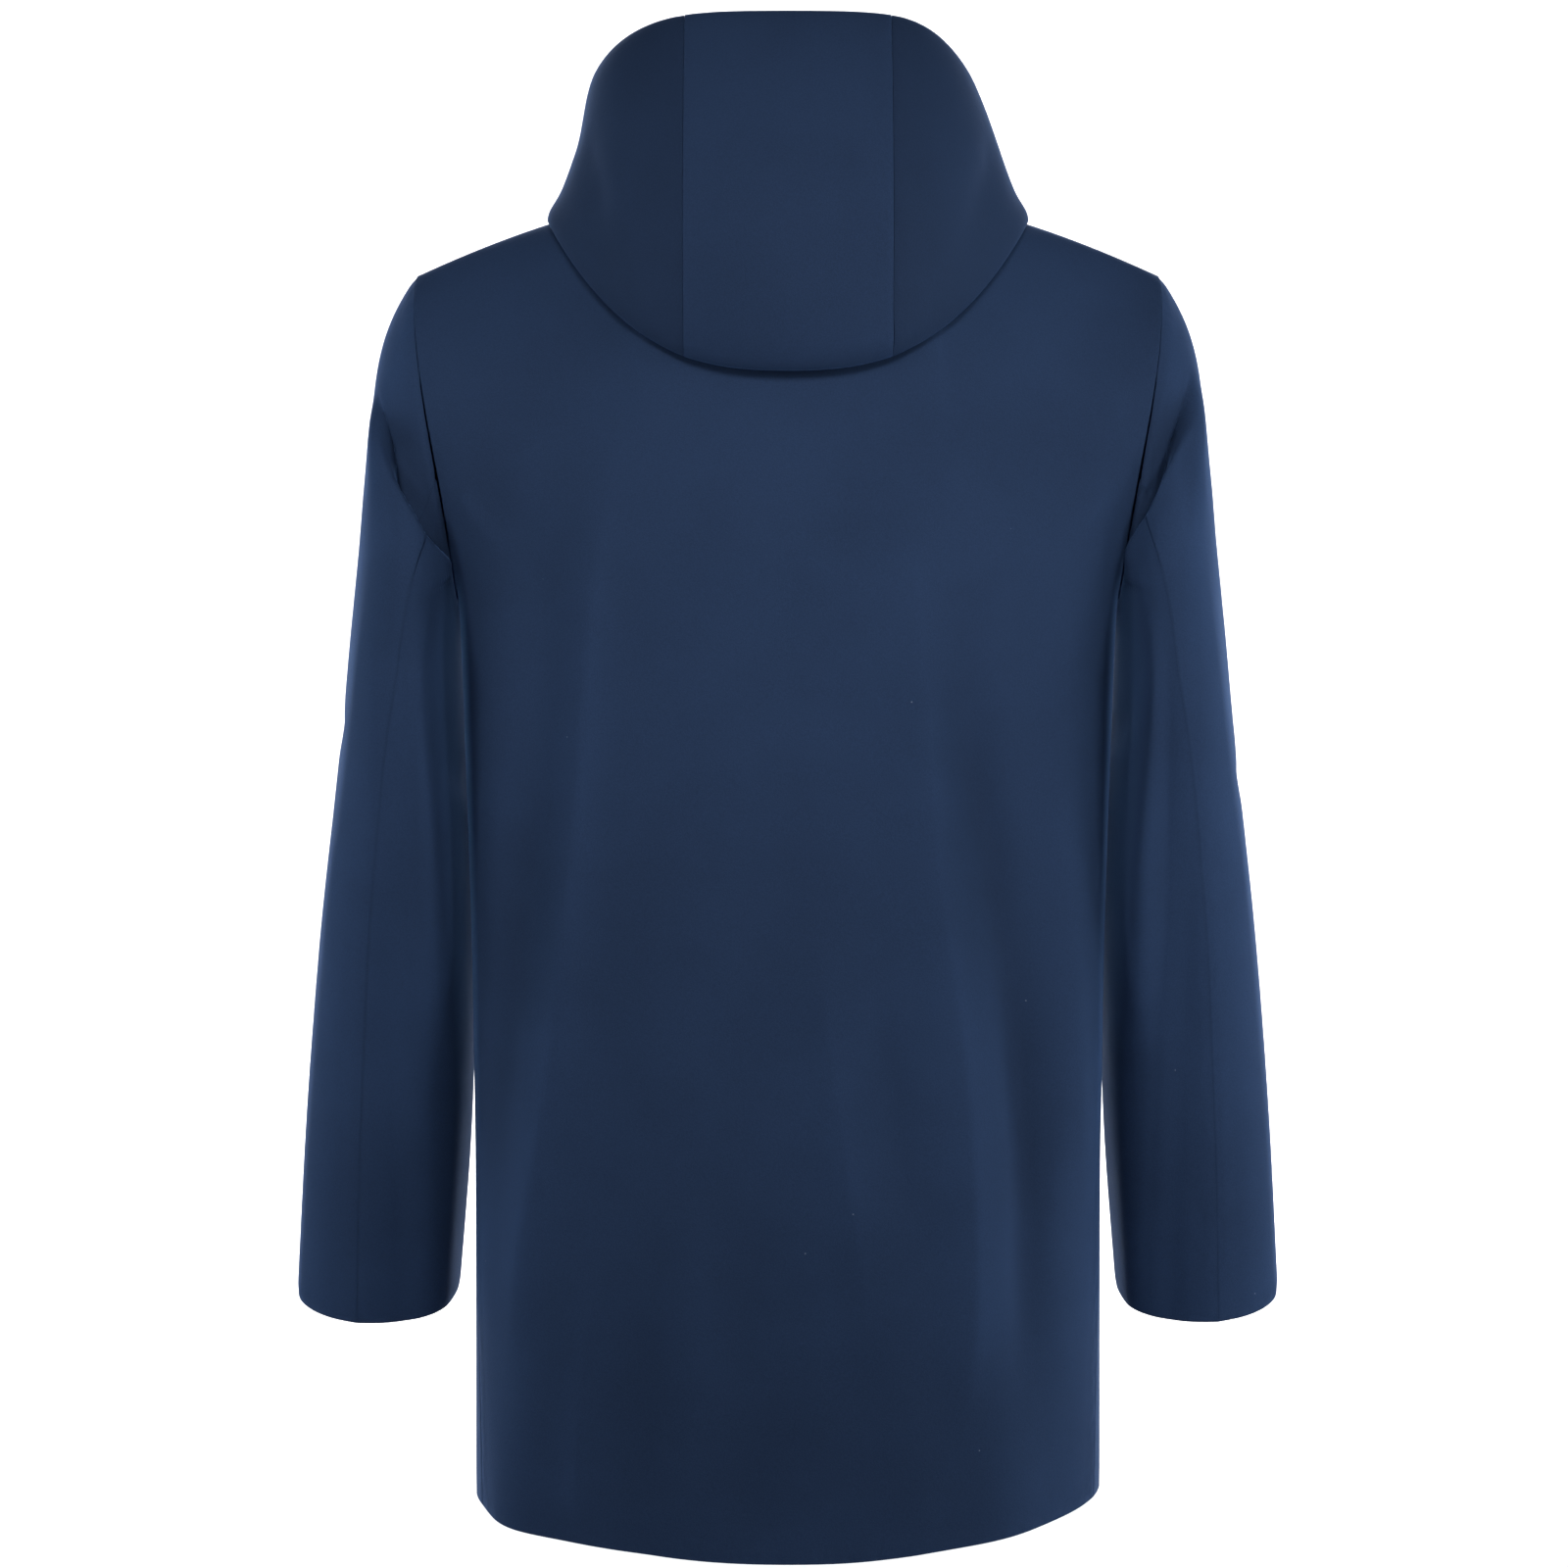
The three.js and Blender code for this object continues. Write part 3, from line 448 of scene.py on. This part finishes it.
def shell_material(cloth):
    """Matte navy soft-shell: a fine grain, a short pile that catches light at the outline, a few specks."""
    material = Material("parka_shell")
    base = tuple(c * FULL_PAINTED_LIGHT for c in cloth.shell)
    grain = material.noise(cloth.grain, detail=3.0, roughness=0.6)
    weave = material.noise(cloth.grain * 2.6, detail=1.0)
    cloudy = material.noise(CLOUDS, detail=3.0, roughness=0.55)
    seam = material.attribute("seam_distance")
    at_seam = 1 - seam.between(0.0, SEAM_LINE)
    near_seam = 1 - seam.between(SEAM_LINE, PUCKERED)
    cells = {"Vector": material.place, "Scale": 1 / SPECK_SPACING}
    speck_cells = material.add("ShaderNodeTexVoronoi", {"feature": "F1"}, cells)
    speck_near = Value(material, speck_cells.outputs["Distance"]) < SPECK_RADIUS / SPECK_SPACING
    speck_some = material.noise(0.019, detail=0.0) > 0.6
    specks = speck_near * speck_some

    shade = material.mixed(tinted(base, 0.86), tinted(base, 1.14), cloudy.between(0.3, 0.7))
    grained = material.mixed(tinted(base, 0.72), tinted(base, 1.28), grain.between(0.25, 0.75))
    cloth_colour = material.mixed(shade, grained, 0.42)
    # painted light and shade: each panel's own, lighter on crests, darker in the hollows of creases and
    # folds
    with_painted_light = material.mixed((0.0, 0.0, 0.0, 1.0), cloth_colour, material.attribute("nap"))
    # painted shade along each seam, deeper where the piece dips more at its seams
    seam_shaded = material.mixed(with_painted_light, tinted(base, 0.5), at_seam * material.attribute("seam_depth") * 0.45)
    dusted = material.mixed(seam_shaded, (0.25, 0.30, 0.38, 1.0), specks * 0.5)

    pucker = material.noise(PUCKERS, detail=1.0) * near_seam
    wrinkled = material.bump(pucker, distance=0.0016, strength=0.55)
    rumple = material.noise(RUMPLES, detail=2.0)
    rumpled = material.bump(rumple, distance=0.0012, strength=0.35, over=wrinkled)
    knitted = material.bump(grain * 0.7 + weave * 0.3, distance=0.00022, strength=0.6, over=rumpled)

    material.surface.inputs["Specular IOR Level"].default_value = 0.1
    material.surface.inputs["Sheen Weight"].default_value = cloth.sheen
    material.surface.inputs["Sheen Roughness"].default_value = 0.3
    material.surface.inputs["Sheen Tint"].default_value = (0.22, 0.45, 1.0, 1.0)
    return material.finish(Base_Color=dusted, Roughness=0.78 + grain * 0.14, Normal=knitted)


def lining_material(cloth):
    """The plain smooth inside."""
    material = Material("parka_lining")
    base = tuple(cloth.lining)
    threads = material.noise(0.0007, detail=1.0)
    soft = material.noise(0.05, detail=2.0)
    shade = material.mixed(tinted(base, 0.85), tinted(base, 1.15), soft.between(0.3, 0.7))
    normal = material.bump(threads * 0.4 + soft, distance=0.0006, strength=0.4)
    material.surface.inputs["Specular IOR Level"].default_value = 0.35
    return material.finish(Base_Color=shade, Roughness=0.5 + threads * 0.15, Normal=normal)


# ---- Shells ----


def wall_outside(node):
    """The outside of a solid's wall, as a bmesh of four-sided faces."""
    bm = bmesh.new()
    bm.from_mesh(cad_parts[node].data)
    bmesh.ops.remove_doubles(bm, verts=bm.verts[:], dist=SAME_POINT)
    sides = wall_sides(bm)
    if node == "front_placket":  # the foremost of its two like sides, which has no slivers
        outside = set(min(sides[:2], key=mean_depth))
    else:
        outside = with_slivers(bm, max(sides, key=whole_area))
    bmesh.ops.delete(bm, geom=[f for f in bm.faces if f not in outside], context="FACES")
    bmesh.ops.join_triangles(
        bm,
        faces=bm.faces[:],
        angle_face_threshold=QUAD_ANGLE,
        angle_shape_threshold=QUAD_ANGLE,
        topology_influence=1.0,
    )
    return bm


def mean_depth(faces):
    """How far back faces lie."""
    return sum(face.calc_center_median().y for face in faces) / len(faces)


def whole_area(faces):
    """The area of faces together."""
    return sum(face.calc_area() for face in faces)


def with_slivers(bm, side):
    """A side with the faces in it that are so thin that their direction says nothing."""
    outside = set(side)
    slivers = side
    while slivers:
        slivers = [f for f in bm.faces if f not in outside and edges_on(outside, f) > 1]
        outside.update(slivers)
    return outside


def edges_on(outside, face):
    """The number of a face's edges that the outside reaches."""
    return sum(not outside.isdisjoint(edge.link_faces) for edge in face.edges)


def wall_sides(bm):
    """The sides of a wall, largest first: faces that are joined without a sharp edge between them."""
    waiting = set(bm.faces)
    sides = []
    while waiting:
        side = [waiting.pop()]
        for face in side:
            for edge in face.edges:
                if edge.calc_face_angle(math.pi) > RIM_ANGLE:
                    continue
                for near in edge.link_faces:
                    if near in waiting:
                        waiting.remove(near)
                        side.append(near)
        sides.append(side)
    return sorted(sides, key=len, reverse=True)


def add_modifier(obj, kind, **settings):
    """Adds a modifier and applies it."""
    modifier = obj.modifiers.new(kind.title(), kind)
    for name, value in settings.items():
        setattr(modifier, name, value)
    depsgraph = bpy.context.evaluated_depsgraph_get()
    mesh = bpy.data.meshes.new_from_object(obj.evaluated_get(depsgraph))
    old = obj.data
    obj.modifiers.clear()
    obj.data = mesh
    bpy.data.meshes.remove(old)
    mesh.name = obj.name


def points_of(mesh, what="vertices", field="co"):
    """The points or directions that a mesh holds, a row for each."""
    items = getattr(mesh, what)
    values = np.empty(len(items) * 3, dtype=np.float64)
    items.foreach_get(field, values)
    return values.reshape(-1, 3)


def smooth_path(path):
    """A crease's points, in metres, on a smooth curve."""
    points = np.array(path, dtype=float) / 1000
    padded = np.vstack([2 * points[0] - points[1], points, 2 * points[-1] - points[-2]])
    run = []
    for i in range(1, len(padded) - 2):
        a, b, c, d = padded[i - 1 : i + 3]
        slope = c - a
        bend = 2 * a - 5 * b + 4 * c - d
        twist = 3 * b - a - 3 * c + d
        for t in np.linspace(0, 1, CREASE_STEPS // (len(points) - 1) + 1)[:-1]:
            run.append(0.5 * (2 * b + slope * t + bend * t**2 + twist * t**3))
    return np.array([*run, points[-1]])


def smoothstep(low, high, values):
    """0 at low, 1 at high, smooth on the way."""
    t = np.clip((values - low) / (high - low), 0, 1)
    return t * t * (3 - 2 * t)


def bell(distance, width, power=2.0):
    """1 in the middle, falling away with distance. A greater power has a flatter top and steeper sides."""
    return np.exp(-(np.abs(distance / width) ** power))


def beside(crease, points):
    """How far each point is to the left of a crease's path, how far along it, and which way left is."""
    side = FACING[crease["faces"]]
    across = np.array(side["across"], dtype=float)
    flat = np.stack([points @ across, points[:, 2]], axis=1)
    run = smooth_path(crease["path"])
    starts, spans = run[:-1], np.diff(run, axis=0)
    lengths = np.linalg.norm(spans, axis=1)
    along_at = np.concatenate([[0], np.cumsum(lengths)])
    nearest = np.full(len(flat), np.inf)
    aside = np.zeros(len(flat))
    along = np.zeros(len(flat))
    left = np.zeros((len(flat), 2))
    for start, span, length, before in zip(starts, spans, lengths, along_at):
        to_left = side["hand"] * np.array([-span[1], span[0]]) / length
        offset = flat - start
        t = np.clip(offset @ span / length**2, 0, 1)
        distance = np.linalg.norm(offset - t[:, None] * span, axis=1)
        closer = distance < nearest
        nearest = np.where(closer, distance, nearest)
        aside = np.where(closer, np.where(offset @ to_left > 0, distance, -distance), aside)
        along = np.where(closer, (before + t * length) / along_at[-1], along)
        left = np.where(closer[:, None], to_left, left)
    return aside, along, left[:, :1] * across + left[:, 1:] * np.array([0.0, 0.0, 1.0])


def facing(crease, normals):
    """1 where the cloth faces a crease's side, 0 where it turns away from it."""
    return smoothstep(TURNED_AWAY, FACED, normals @ np.array(FACING[crease["faces"]]["way"], dtype=float))


def faded(crease, along):
    """1 on most of a crease, 0 at its ends."""
    return smoothstep(0, max(crease["start"], 1e-3), along) * (1 - smoothstep(1 - crease["end"], 1, along))


def relief(crease, points, normals):
    """How far one crease moves each point, in metres, along its normal."""
    aside, along, _ = beside(crease, points)
    width = np.where(aside > 0, crease["left"], crease["right"]) / 1000
    profile = bell(aside, width, CREST if crease["height"] > 0 else TROUGH)
    return crease["height"] / 1000 * facing(crease, normals) * faded(crease, along) * profile


def folded(fold, points, normals):
    """How a fold moves each point, and how much painted shade darkens it there.

    The fold's full side rises and laps over its hollow side.
    """
    aside, along, left = beside(fold, points)
    if fold["laps"] == "right":
        aside, left = -aside, -left
    aside = aside * 1000
    share = facing(fold, normals) * faded(fold, along)
    full = smoothstep(-fold["step"], fold["step"], -aside)
    rise = fold["rise"] * full * bell(aside, fold["full"])
    sink = fold["sink"] * (1 - full) * bell(aside, fold["hollow"])
    sink += fold["cut"] * bell(aside - fold["cut_at"], fold["cut_width"])
    lap = fold["lap"] * full * bell(aside, fold["lap_width"])
    flat_left = left - normals * np.sum(left * normals, axis=1)[:, None]
    darker = fold["shade"] * share * (1 - full) * bell(aside, fold["hollow"], 4)
    move = normals * (share * (rise - sink))[:, None] + flat_left * (share * lap)[:, None]
    return move / 1000, darker


def settled(swell, points, normals):
    """How the cloth's uneven seat moves each point, in metres."""
    share = facing(swell, normals) if "faces" in swell else np.ones(len(points))
    for axis, name in enumerate(("across", "back", "up")):
        if name in swell:
            low, high = swell[name]
            share *= smoothstep(low / 1000, high / 1000, points[:, axis])
    return share[:, None] * np.array(swell["move"]) / 1000


def seam_points(mesh):
    """Points along a piece's edges, close together."""
    bm = bmesh.new()
    bm.from_mesh(mesh)
    found = []
    for edge in bm.edges:
        if edge.is_boundary:
            start, end = (v.co.copy() for v in edge.verts)
            count = max(1, math.ceil((end - start).length / SEAM_SAMPLE))
            found += [start.lerp(end, i / count) for i in range(count)]
    bm.free()
    return found


def distances_to(targets, points):
    """How far each point is from the nearest of the targets."""
    tree = kdtree.KDTree(len(targets))
    for i, target in enumerate(targets):
        tree.insert(target, i)
    tree.balance()
    return np.array([tree.find(Vector(point))[2] for point in points])


def sewn_to_body(edges):
    """Those of a sleeve's edge points that lie at the armhole."""
    body = []
    for piece in BODY_PIECES:
        bm = wall_outside(piece["node"])
        for edge in (e for e in bm.edges if e.is_boundary):
            start, end = (v.co.copy() for v in edge.verts)
            body += [start.lerp(end, i / ARMHOLE_SAMPLES) for i in range(ARMHOLE_SAMPLES)]
        bm.free()
    return [point for point, distance in zip(edges, distances_to(body, edges)) if distance < SEWN_WITHIN]


def clothe(piece, creases, folds, swells, cloth, materials):
    """One cut piece: the solid's outside, creased, turned in at its edges and given its thickness."""
    bm = wall_outside(piece["node"])
    mesh = bpy.data.meshes.new(piece["name"])
    bm.to_mesh(mesh)
    bm.free()
    obj = bpy.data.objects.new(piece["name"], mesh)
    bpy.context.scene.collection.objects.link(obj)
    fine = piece["fine"]
    add_modifier(obj, "SUBSURF", levels=fine, render_levels=fine, boundary_smooth="PRESERVE_CORNERS")

    edges = seam_points(obj.data)
    points = points_of(obj.data)
    normals = points_of(obj.data, "vertex_normals", "vector")
    to_seam = distances_to(edges, points)
    raised = sum((relief(crease, points, normals) for crease in creases), np.zeros(len(points)))
    # painted light and shade: each panel's own, lighter on ridges and darker in hollows
    nap = piece["nap"] * (1 + PAINTED_LIGHT_ON_CRESTS * np.clip(raised / CREST_HEIGHT, -PAINTED_LIGHT_REACH, PAINTED_LIGHT_REACH))
    moves = normals * raised[:, None]
    if folds:
        held = smoothstep(0, FOLD_CLEAR, distances_to(sewn_to_body(edges), points))[:, None]
        for move, darker in (folded(fold, points, normals) for fold in folds):
            moves += move * held
            # painted shade in the hollow beside each fold
            nap *= 1 - darker
    dip = piece["dip"] * cloth.turn_in * bell(to_seam, cloth.turn_in_width)
    moved = points + cloth.crease_strength * moves - normals * dip[:, None]
    moved += sum((settled(swell, points, normals) for swell in swells), np.zeros_like(points))
    obj.data.vertices.foreach_set("co", moved.ravel())
    obj.data.update()

    edges = seam_points(obj.data)
    # the painted light and shade, for the shell's colour
    obj.data.attributes.new("nap", "FLOAT", "POINT").data.foreach_set("value", nap / FULL_PAINTED_LIGHT)
    add_modifier(obj, "SOLIDIFY", thickness=cloth.thickness, offset=-1, use_rim=True, material_offset=1)
    add_modifier(obj, "BEVEL", width=cloth.rounding, segments=2, limit_method="ANGLE", angle_limit=RIM_ANGLE)
    distances = distances_to(edges, points_of(obj.data))
    felt = {"seam_distance": distances, "seam_depth": np.full(len(distances), piece["dip"])}
    for name, values in felt.items():
        obj.data.attributes.new(name, "FLOAT", "POINT").data.foreach_set("value", values)
    for material in materials:
        obj.data.materials.append(material)
    obj.data.shade_smooth()
    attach(obj, "root")
    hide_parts(piece["node"])


class ClothPieces:
    """What the operators that make cloth share."""

    pieces = []
    creases = []
    folds = []
    swells = []

    def execute(self, context):
        cloth = context.scene.parka_cloth
        materials = [
            bpy.data.materials.get("parka_shell") or shell_material(cloth),
            bpy.data.materials.get("parka_lining") or lining_material(cloth),
        ]
        for piece in self.pieces:
            clothe(piece, self.creases, self.folds, self.swells, cloth, materials)
        return {"FINISHED"}


class PARKA_OT_body(ClothPieces, bpy.types.Operator):
    """Make the back and the two fronts"""

    bl_idname = "parka.body"
    bl_label = "Body"
    pieces = BODY_PIECES
    creases = BODY_CREASES
    swells = BODY_SWELLS


class PARKA_OT_fly(ClothPieces, bpy.types.Operator):
    """Make the fly over the closed front edges"""

    bl_idname = "parka.fly"
    bl_label = "Fly"
    pieces = FLY_PIECES


class PARKA_OT_sleeves(ClothPieces, bpy.types.Operator):
    """Make the two pieces of each sleeve"""

    bl_idname = "parka.sleeves"
    bl_label = "Sleeves"
    pieces = SLEEVE_PIECES
    creases = SLEEVE_CREASES
    folds = SLEEVE_FOLDS
    swells = SLEEVE_SWELLS


class PARKA_OT_hood(ClothPieces, bpy.types.Operator):
    """Make the hood's centre and side panels"""

    bl_idname = "parka.hood"
    bl_label = "Hood"
    pieces = HOOD_PIECES
    creases = HOOD_CREASES
    swells = HOOD_SWELLS


# ---- Studio ----


def backdrop(studio):
    """A floor that rises in a wide curve behind and before the garment."""
    bm = bmesh.new()
    half, depth, rise, wall = 9.0, 6.0, 2.0, 9.0
    steps = 12
    profile = [(-depth, 0.0), (depth, 0.0)]
    for i in range(1, steps + 1):
        angle = math.pi / 2 * i / steps
        profile.append((depth + rise * math.sin(angle), rise * (1 - math.cos(angle))))
    profile.append((depth + rise, wall))
    line = [bm.verts.new((-half, -y, studio.floor_height + z)) for y, z in profile]
    for a, b in zip(line, line[1:]):
        bm.edges.new((a, b))
    grown = bmesh.ops.extrude_edge_only(bm, edges=bm.edges[:])
    verts = [v for v in grown["geom"] if isinstance(v, bmesh.types.BMVert)]
    bmesh.ops.translate(bm, verts=verts, vec=(2 * half, 0, 0))
    bmesh.ops.recalc_face_normals(bm, faces=bm.faces[:])
    mesh = bpy.data.meshes.new("backdrop")
    bm.to_mesh(mesh)
    bm.free()
    obj = bpy.data.objects.new("backdrop", mesh)
    bpy.context.scene.collection.objects.link(obj)
    material = Material("backdrop_paper")
    fibre = material.noise(0.05, detail=3.0)
    shade = material.mixed(tinted(studio.backdrop, 0.99), tinted(studio.backdrop, 1.01), fibre)
    obj.data.materials.append(material.finish(Base_Color=shade, Roughness=0.9))
    obj.data.shade_smooth()


# Soft boxes: place and what they point at in metres, width and height, and power in watts. Some have a
# narrower spread of light, in degrees, or a tint.
LIGHTS = [
    {"name": "key", "at": (-0.05, 2.3, 0.6), "to": (-0.02, 0, -0.06),
     "size": (0.8, 0.5), "watts": 2.8, "spread": 52},
    {"name": "side_right", "at": (-1.7, 1.5, 0), "to": (-0.15, 0, -0.3),
     "size": (0.6, 0.8), "watts": 1.25, "spread": 52},
    {"name": "side_left", "at": (1.7, 1.5, 0), "to": (0.15, 0, -0.3),
     "size": (0.6, 0.8), "watts": 1.2, "spread": 52},
    {"name": "wide_right", "at": (-2.1, 0.5, -0.3), "to": (0, 0, -0.4),
     "size": (0.5, 1.6), "watts": 11, "tint": (0.9, 0.96, 1)},
    {"name": "rim_right", "at": (-1.9, -0.5, -0.3), "to": (-0.2, 0, -0.5),
     "size": (0.5, 1.6), "watts": 18, "tint": (0.6, 0.8, 1)},
    {"name": "rim_left", "at": (1.9, -0.5, -0.3), "to": (0.2, 0, -0.5),
     "size": (0.5, 1.6), "watts": 17, "tint": (0.6, 0.8, 1)},
    {"name": "front_soft", "at": (0.6, -2.2, 1.3), "to": (0, 0, -0.3), "size": (1.2, 1.2), "watts": 8},
    {"name": "floor", "at": (0, -3.6, 1.4), "to": (0, -3.6, -1.32), "size": (5, 3), "watts": 165},
    {"name": "paper_left", "at": (2.6, -2.6, 0.8), "to": (1, -7.5, 0.6), "size": (2, 3), "watts": 260},
    {"name": "paper_right", "at": (-2.6, -2.6, 0.8), "to": (-1, -7.5, 0.6), "size": (2, 3), "watts": 260},
]


def soft_box(name, at, to, size, watts, spread=180, tint=(1, 1, 1)):
    """A rectangular soft box that points at a place."""
    light = bpy.data.lights.new(name, "AREA")
    light.shape = "RECTANGLE"
    light.size, light.size_y = size
    light.energy = watts
    light.spread = math.radians(spread)
    light.color = tint
    obj = bpy.data.objects.new(name, light)
    obj.location = at
    obj.rotation_euler = (Vector(to) - Vector(at)).to_track_quat("-Z", "Y").to_euler()
    bpy.context.scene.collection.objects.link(obj)


class PARKA_OT_stage(bpy.types.Operator):
    """Set the floor and backdrop, the soft boxes, the surrounding light and the camera"""

    bl_idname = "parka.stage"
    bl_label = "Studio"

    def execute(self, context):
        studio = context.scene.parka_studio
        backdrop(studio)
        for light in LIGHTS:
            soft_box(**light)
        world = bpy.data.worlds.new("studio")
        world.use_nodes = True
        background = world.node_tree.nodes["Background"]
        background.inputs["Color"].default_value = (0.93, 0.96, 1.0, 1.0)
        background.inputs["Strength"].default_value = studio.sky
        context.scene.world = world
        context.scene.view_settings.view_transform = "Standard"
        camera = bpy.data.objects.new("camera", bpy.data.cameras.new("camera"))
        camera.data.lens = studio.lens
        camera.data.sensor_width = 36.0
        camera.location = (studio.camera_side, studio.camera_distance, studio.camera_height)
        aim = Vector((studio.camera_side, 0.0, studio.aim_height)) - camera.location
        camera.rotation_euler = aim.to_track_quat("-Z", "Y").to_euler()
        context.scene.collection.objects.link(camera)
        context.scene.camera = camera
        return {"FINISHED"}


class PARKA_PT_panel(bpy.types.Panel):
    """Shows the cloth's and the studio's settings and the buttons that make the studio and the pieces"""

    bl_label = "Padded parka"
    bl_idname = "PARKA_PT_panel"
    bl_space_type = "VIEW_3D"
    bl_region_type = "UI"
    bl_category = "Parka"

    def draw(self, context):
        for group in (context.scene.parka_cloth, context.scene.parka_studio):
            box = self.layout.box()
            for name in group.__annotations__:
                box.prop(group, name)
        for operator in OPERATORS:
            self.layout.operator(operator.bl_idname)


OPERATORS = (PARKA_OT_stage, PARKA_OT_body, PARKA_OT_fly, PARKA_OT_sleeves, PARKA_OT_hood)
CLASSES = (ParkaCloth, ParkaStudio, *OPERATORS, PARKA_PT_panel)


def register():
    for cls in CLASSES:
        bpy.utils.register_class(cls)
    bpy.types.Scene.parka_cloth = bpy.props.PointerProperty(type=ParkaCloth)
    bpy.types.Scene.parka_studio = bpy.props.PointerProperty(type=ParkaStudio)


def unregister():
    del bpy.types.Scene.parka_studio
    del bpy.types.Scene.parka_cloth
    for cls in reversed(CLASSES):
        bpy.utils.unregister_class(cls)


def main():
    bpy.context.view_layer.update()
    register()
    bpy.ops.parka.stage()
    bpy.ops.parka.body()
    bpy.ops.parka.fly()
    bpy.ops.parka.sleeves()
    bpy.ops.parka.hood()


if __name__ == "__main__":
    main()
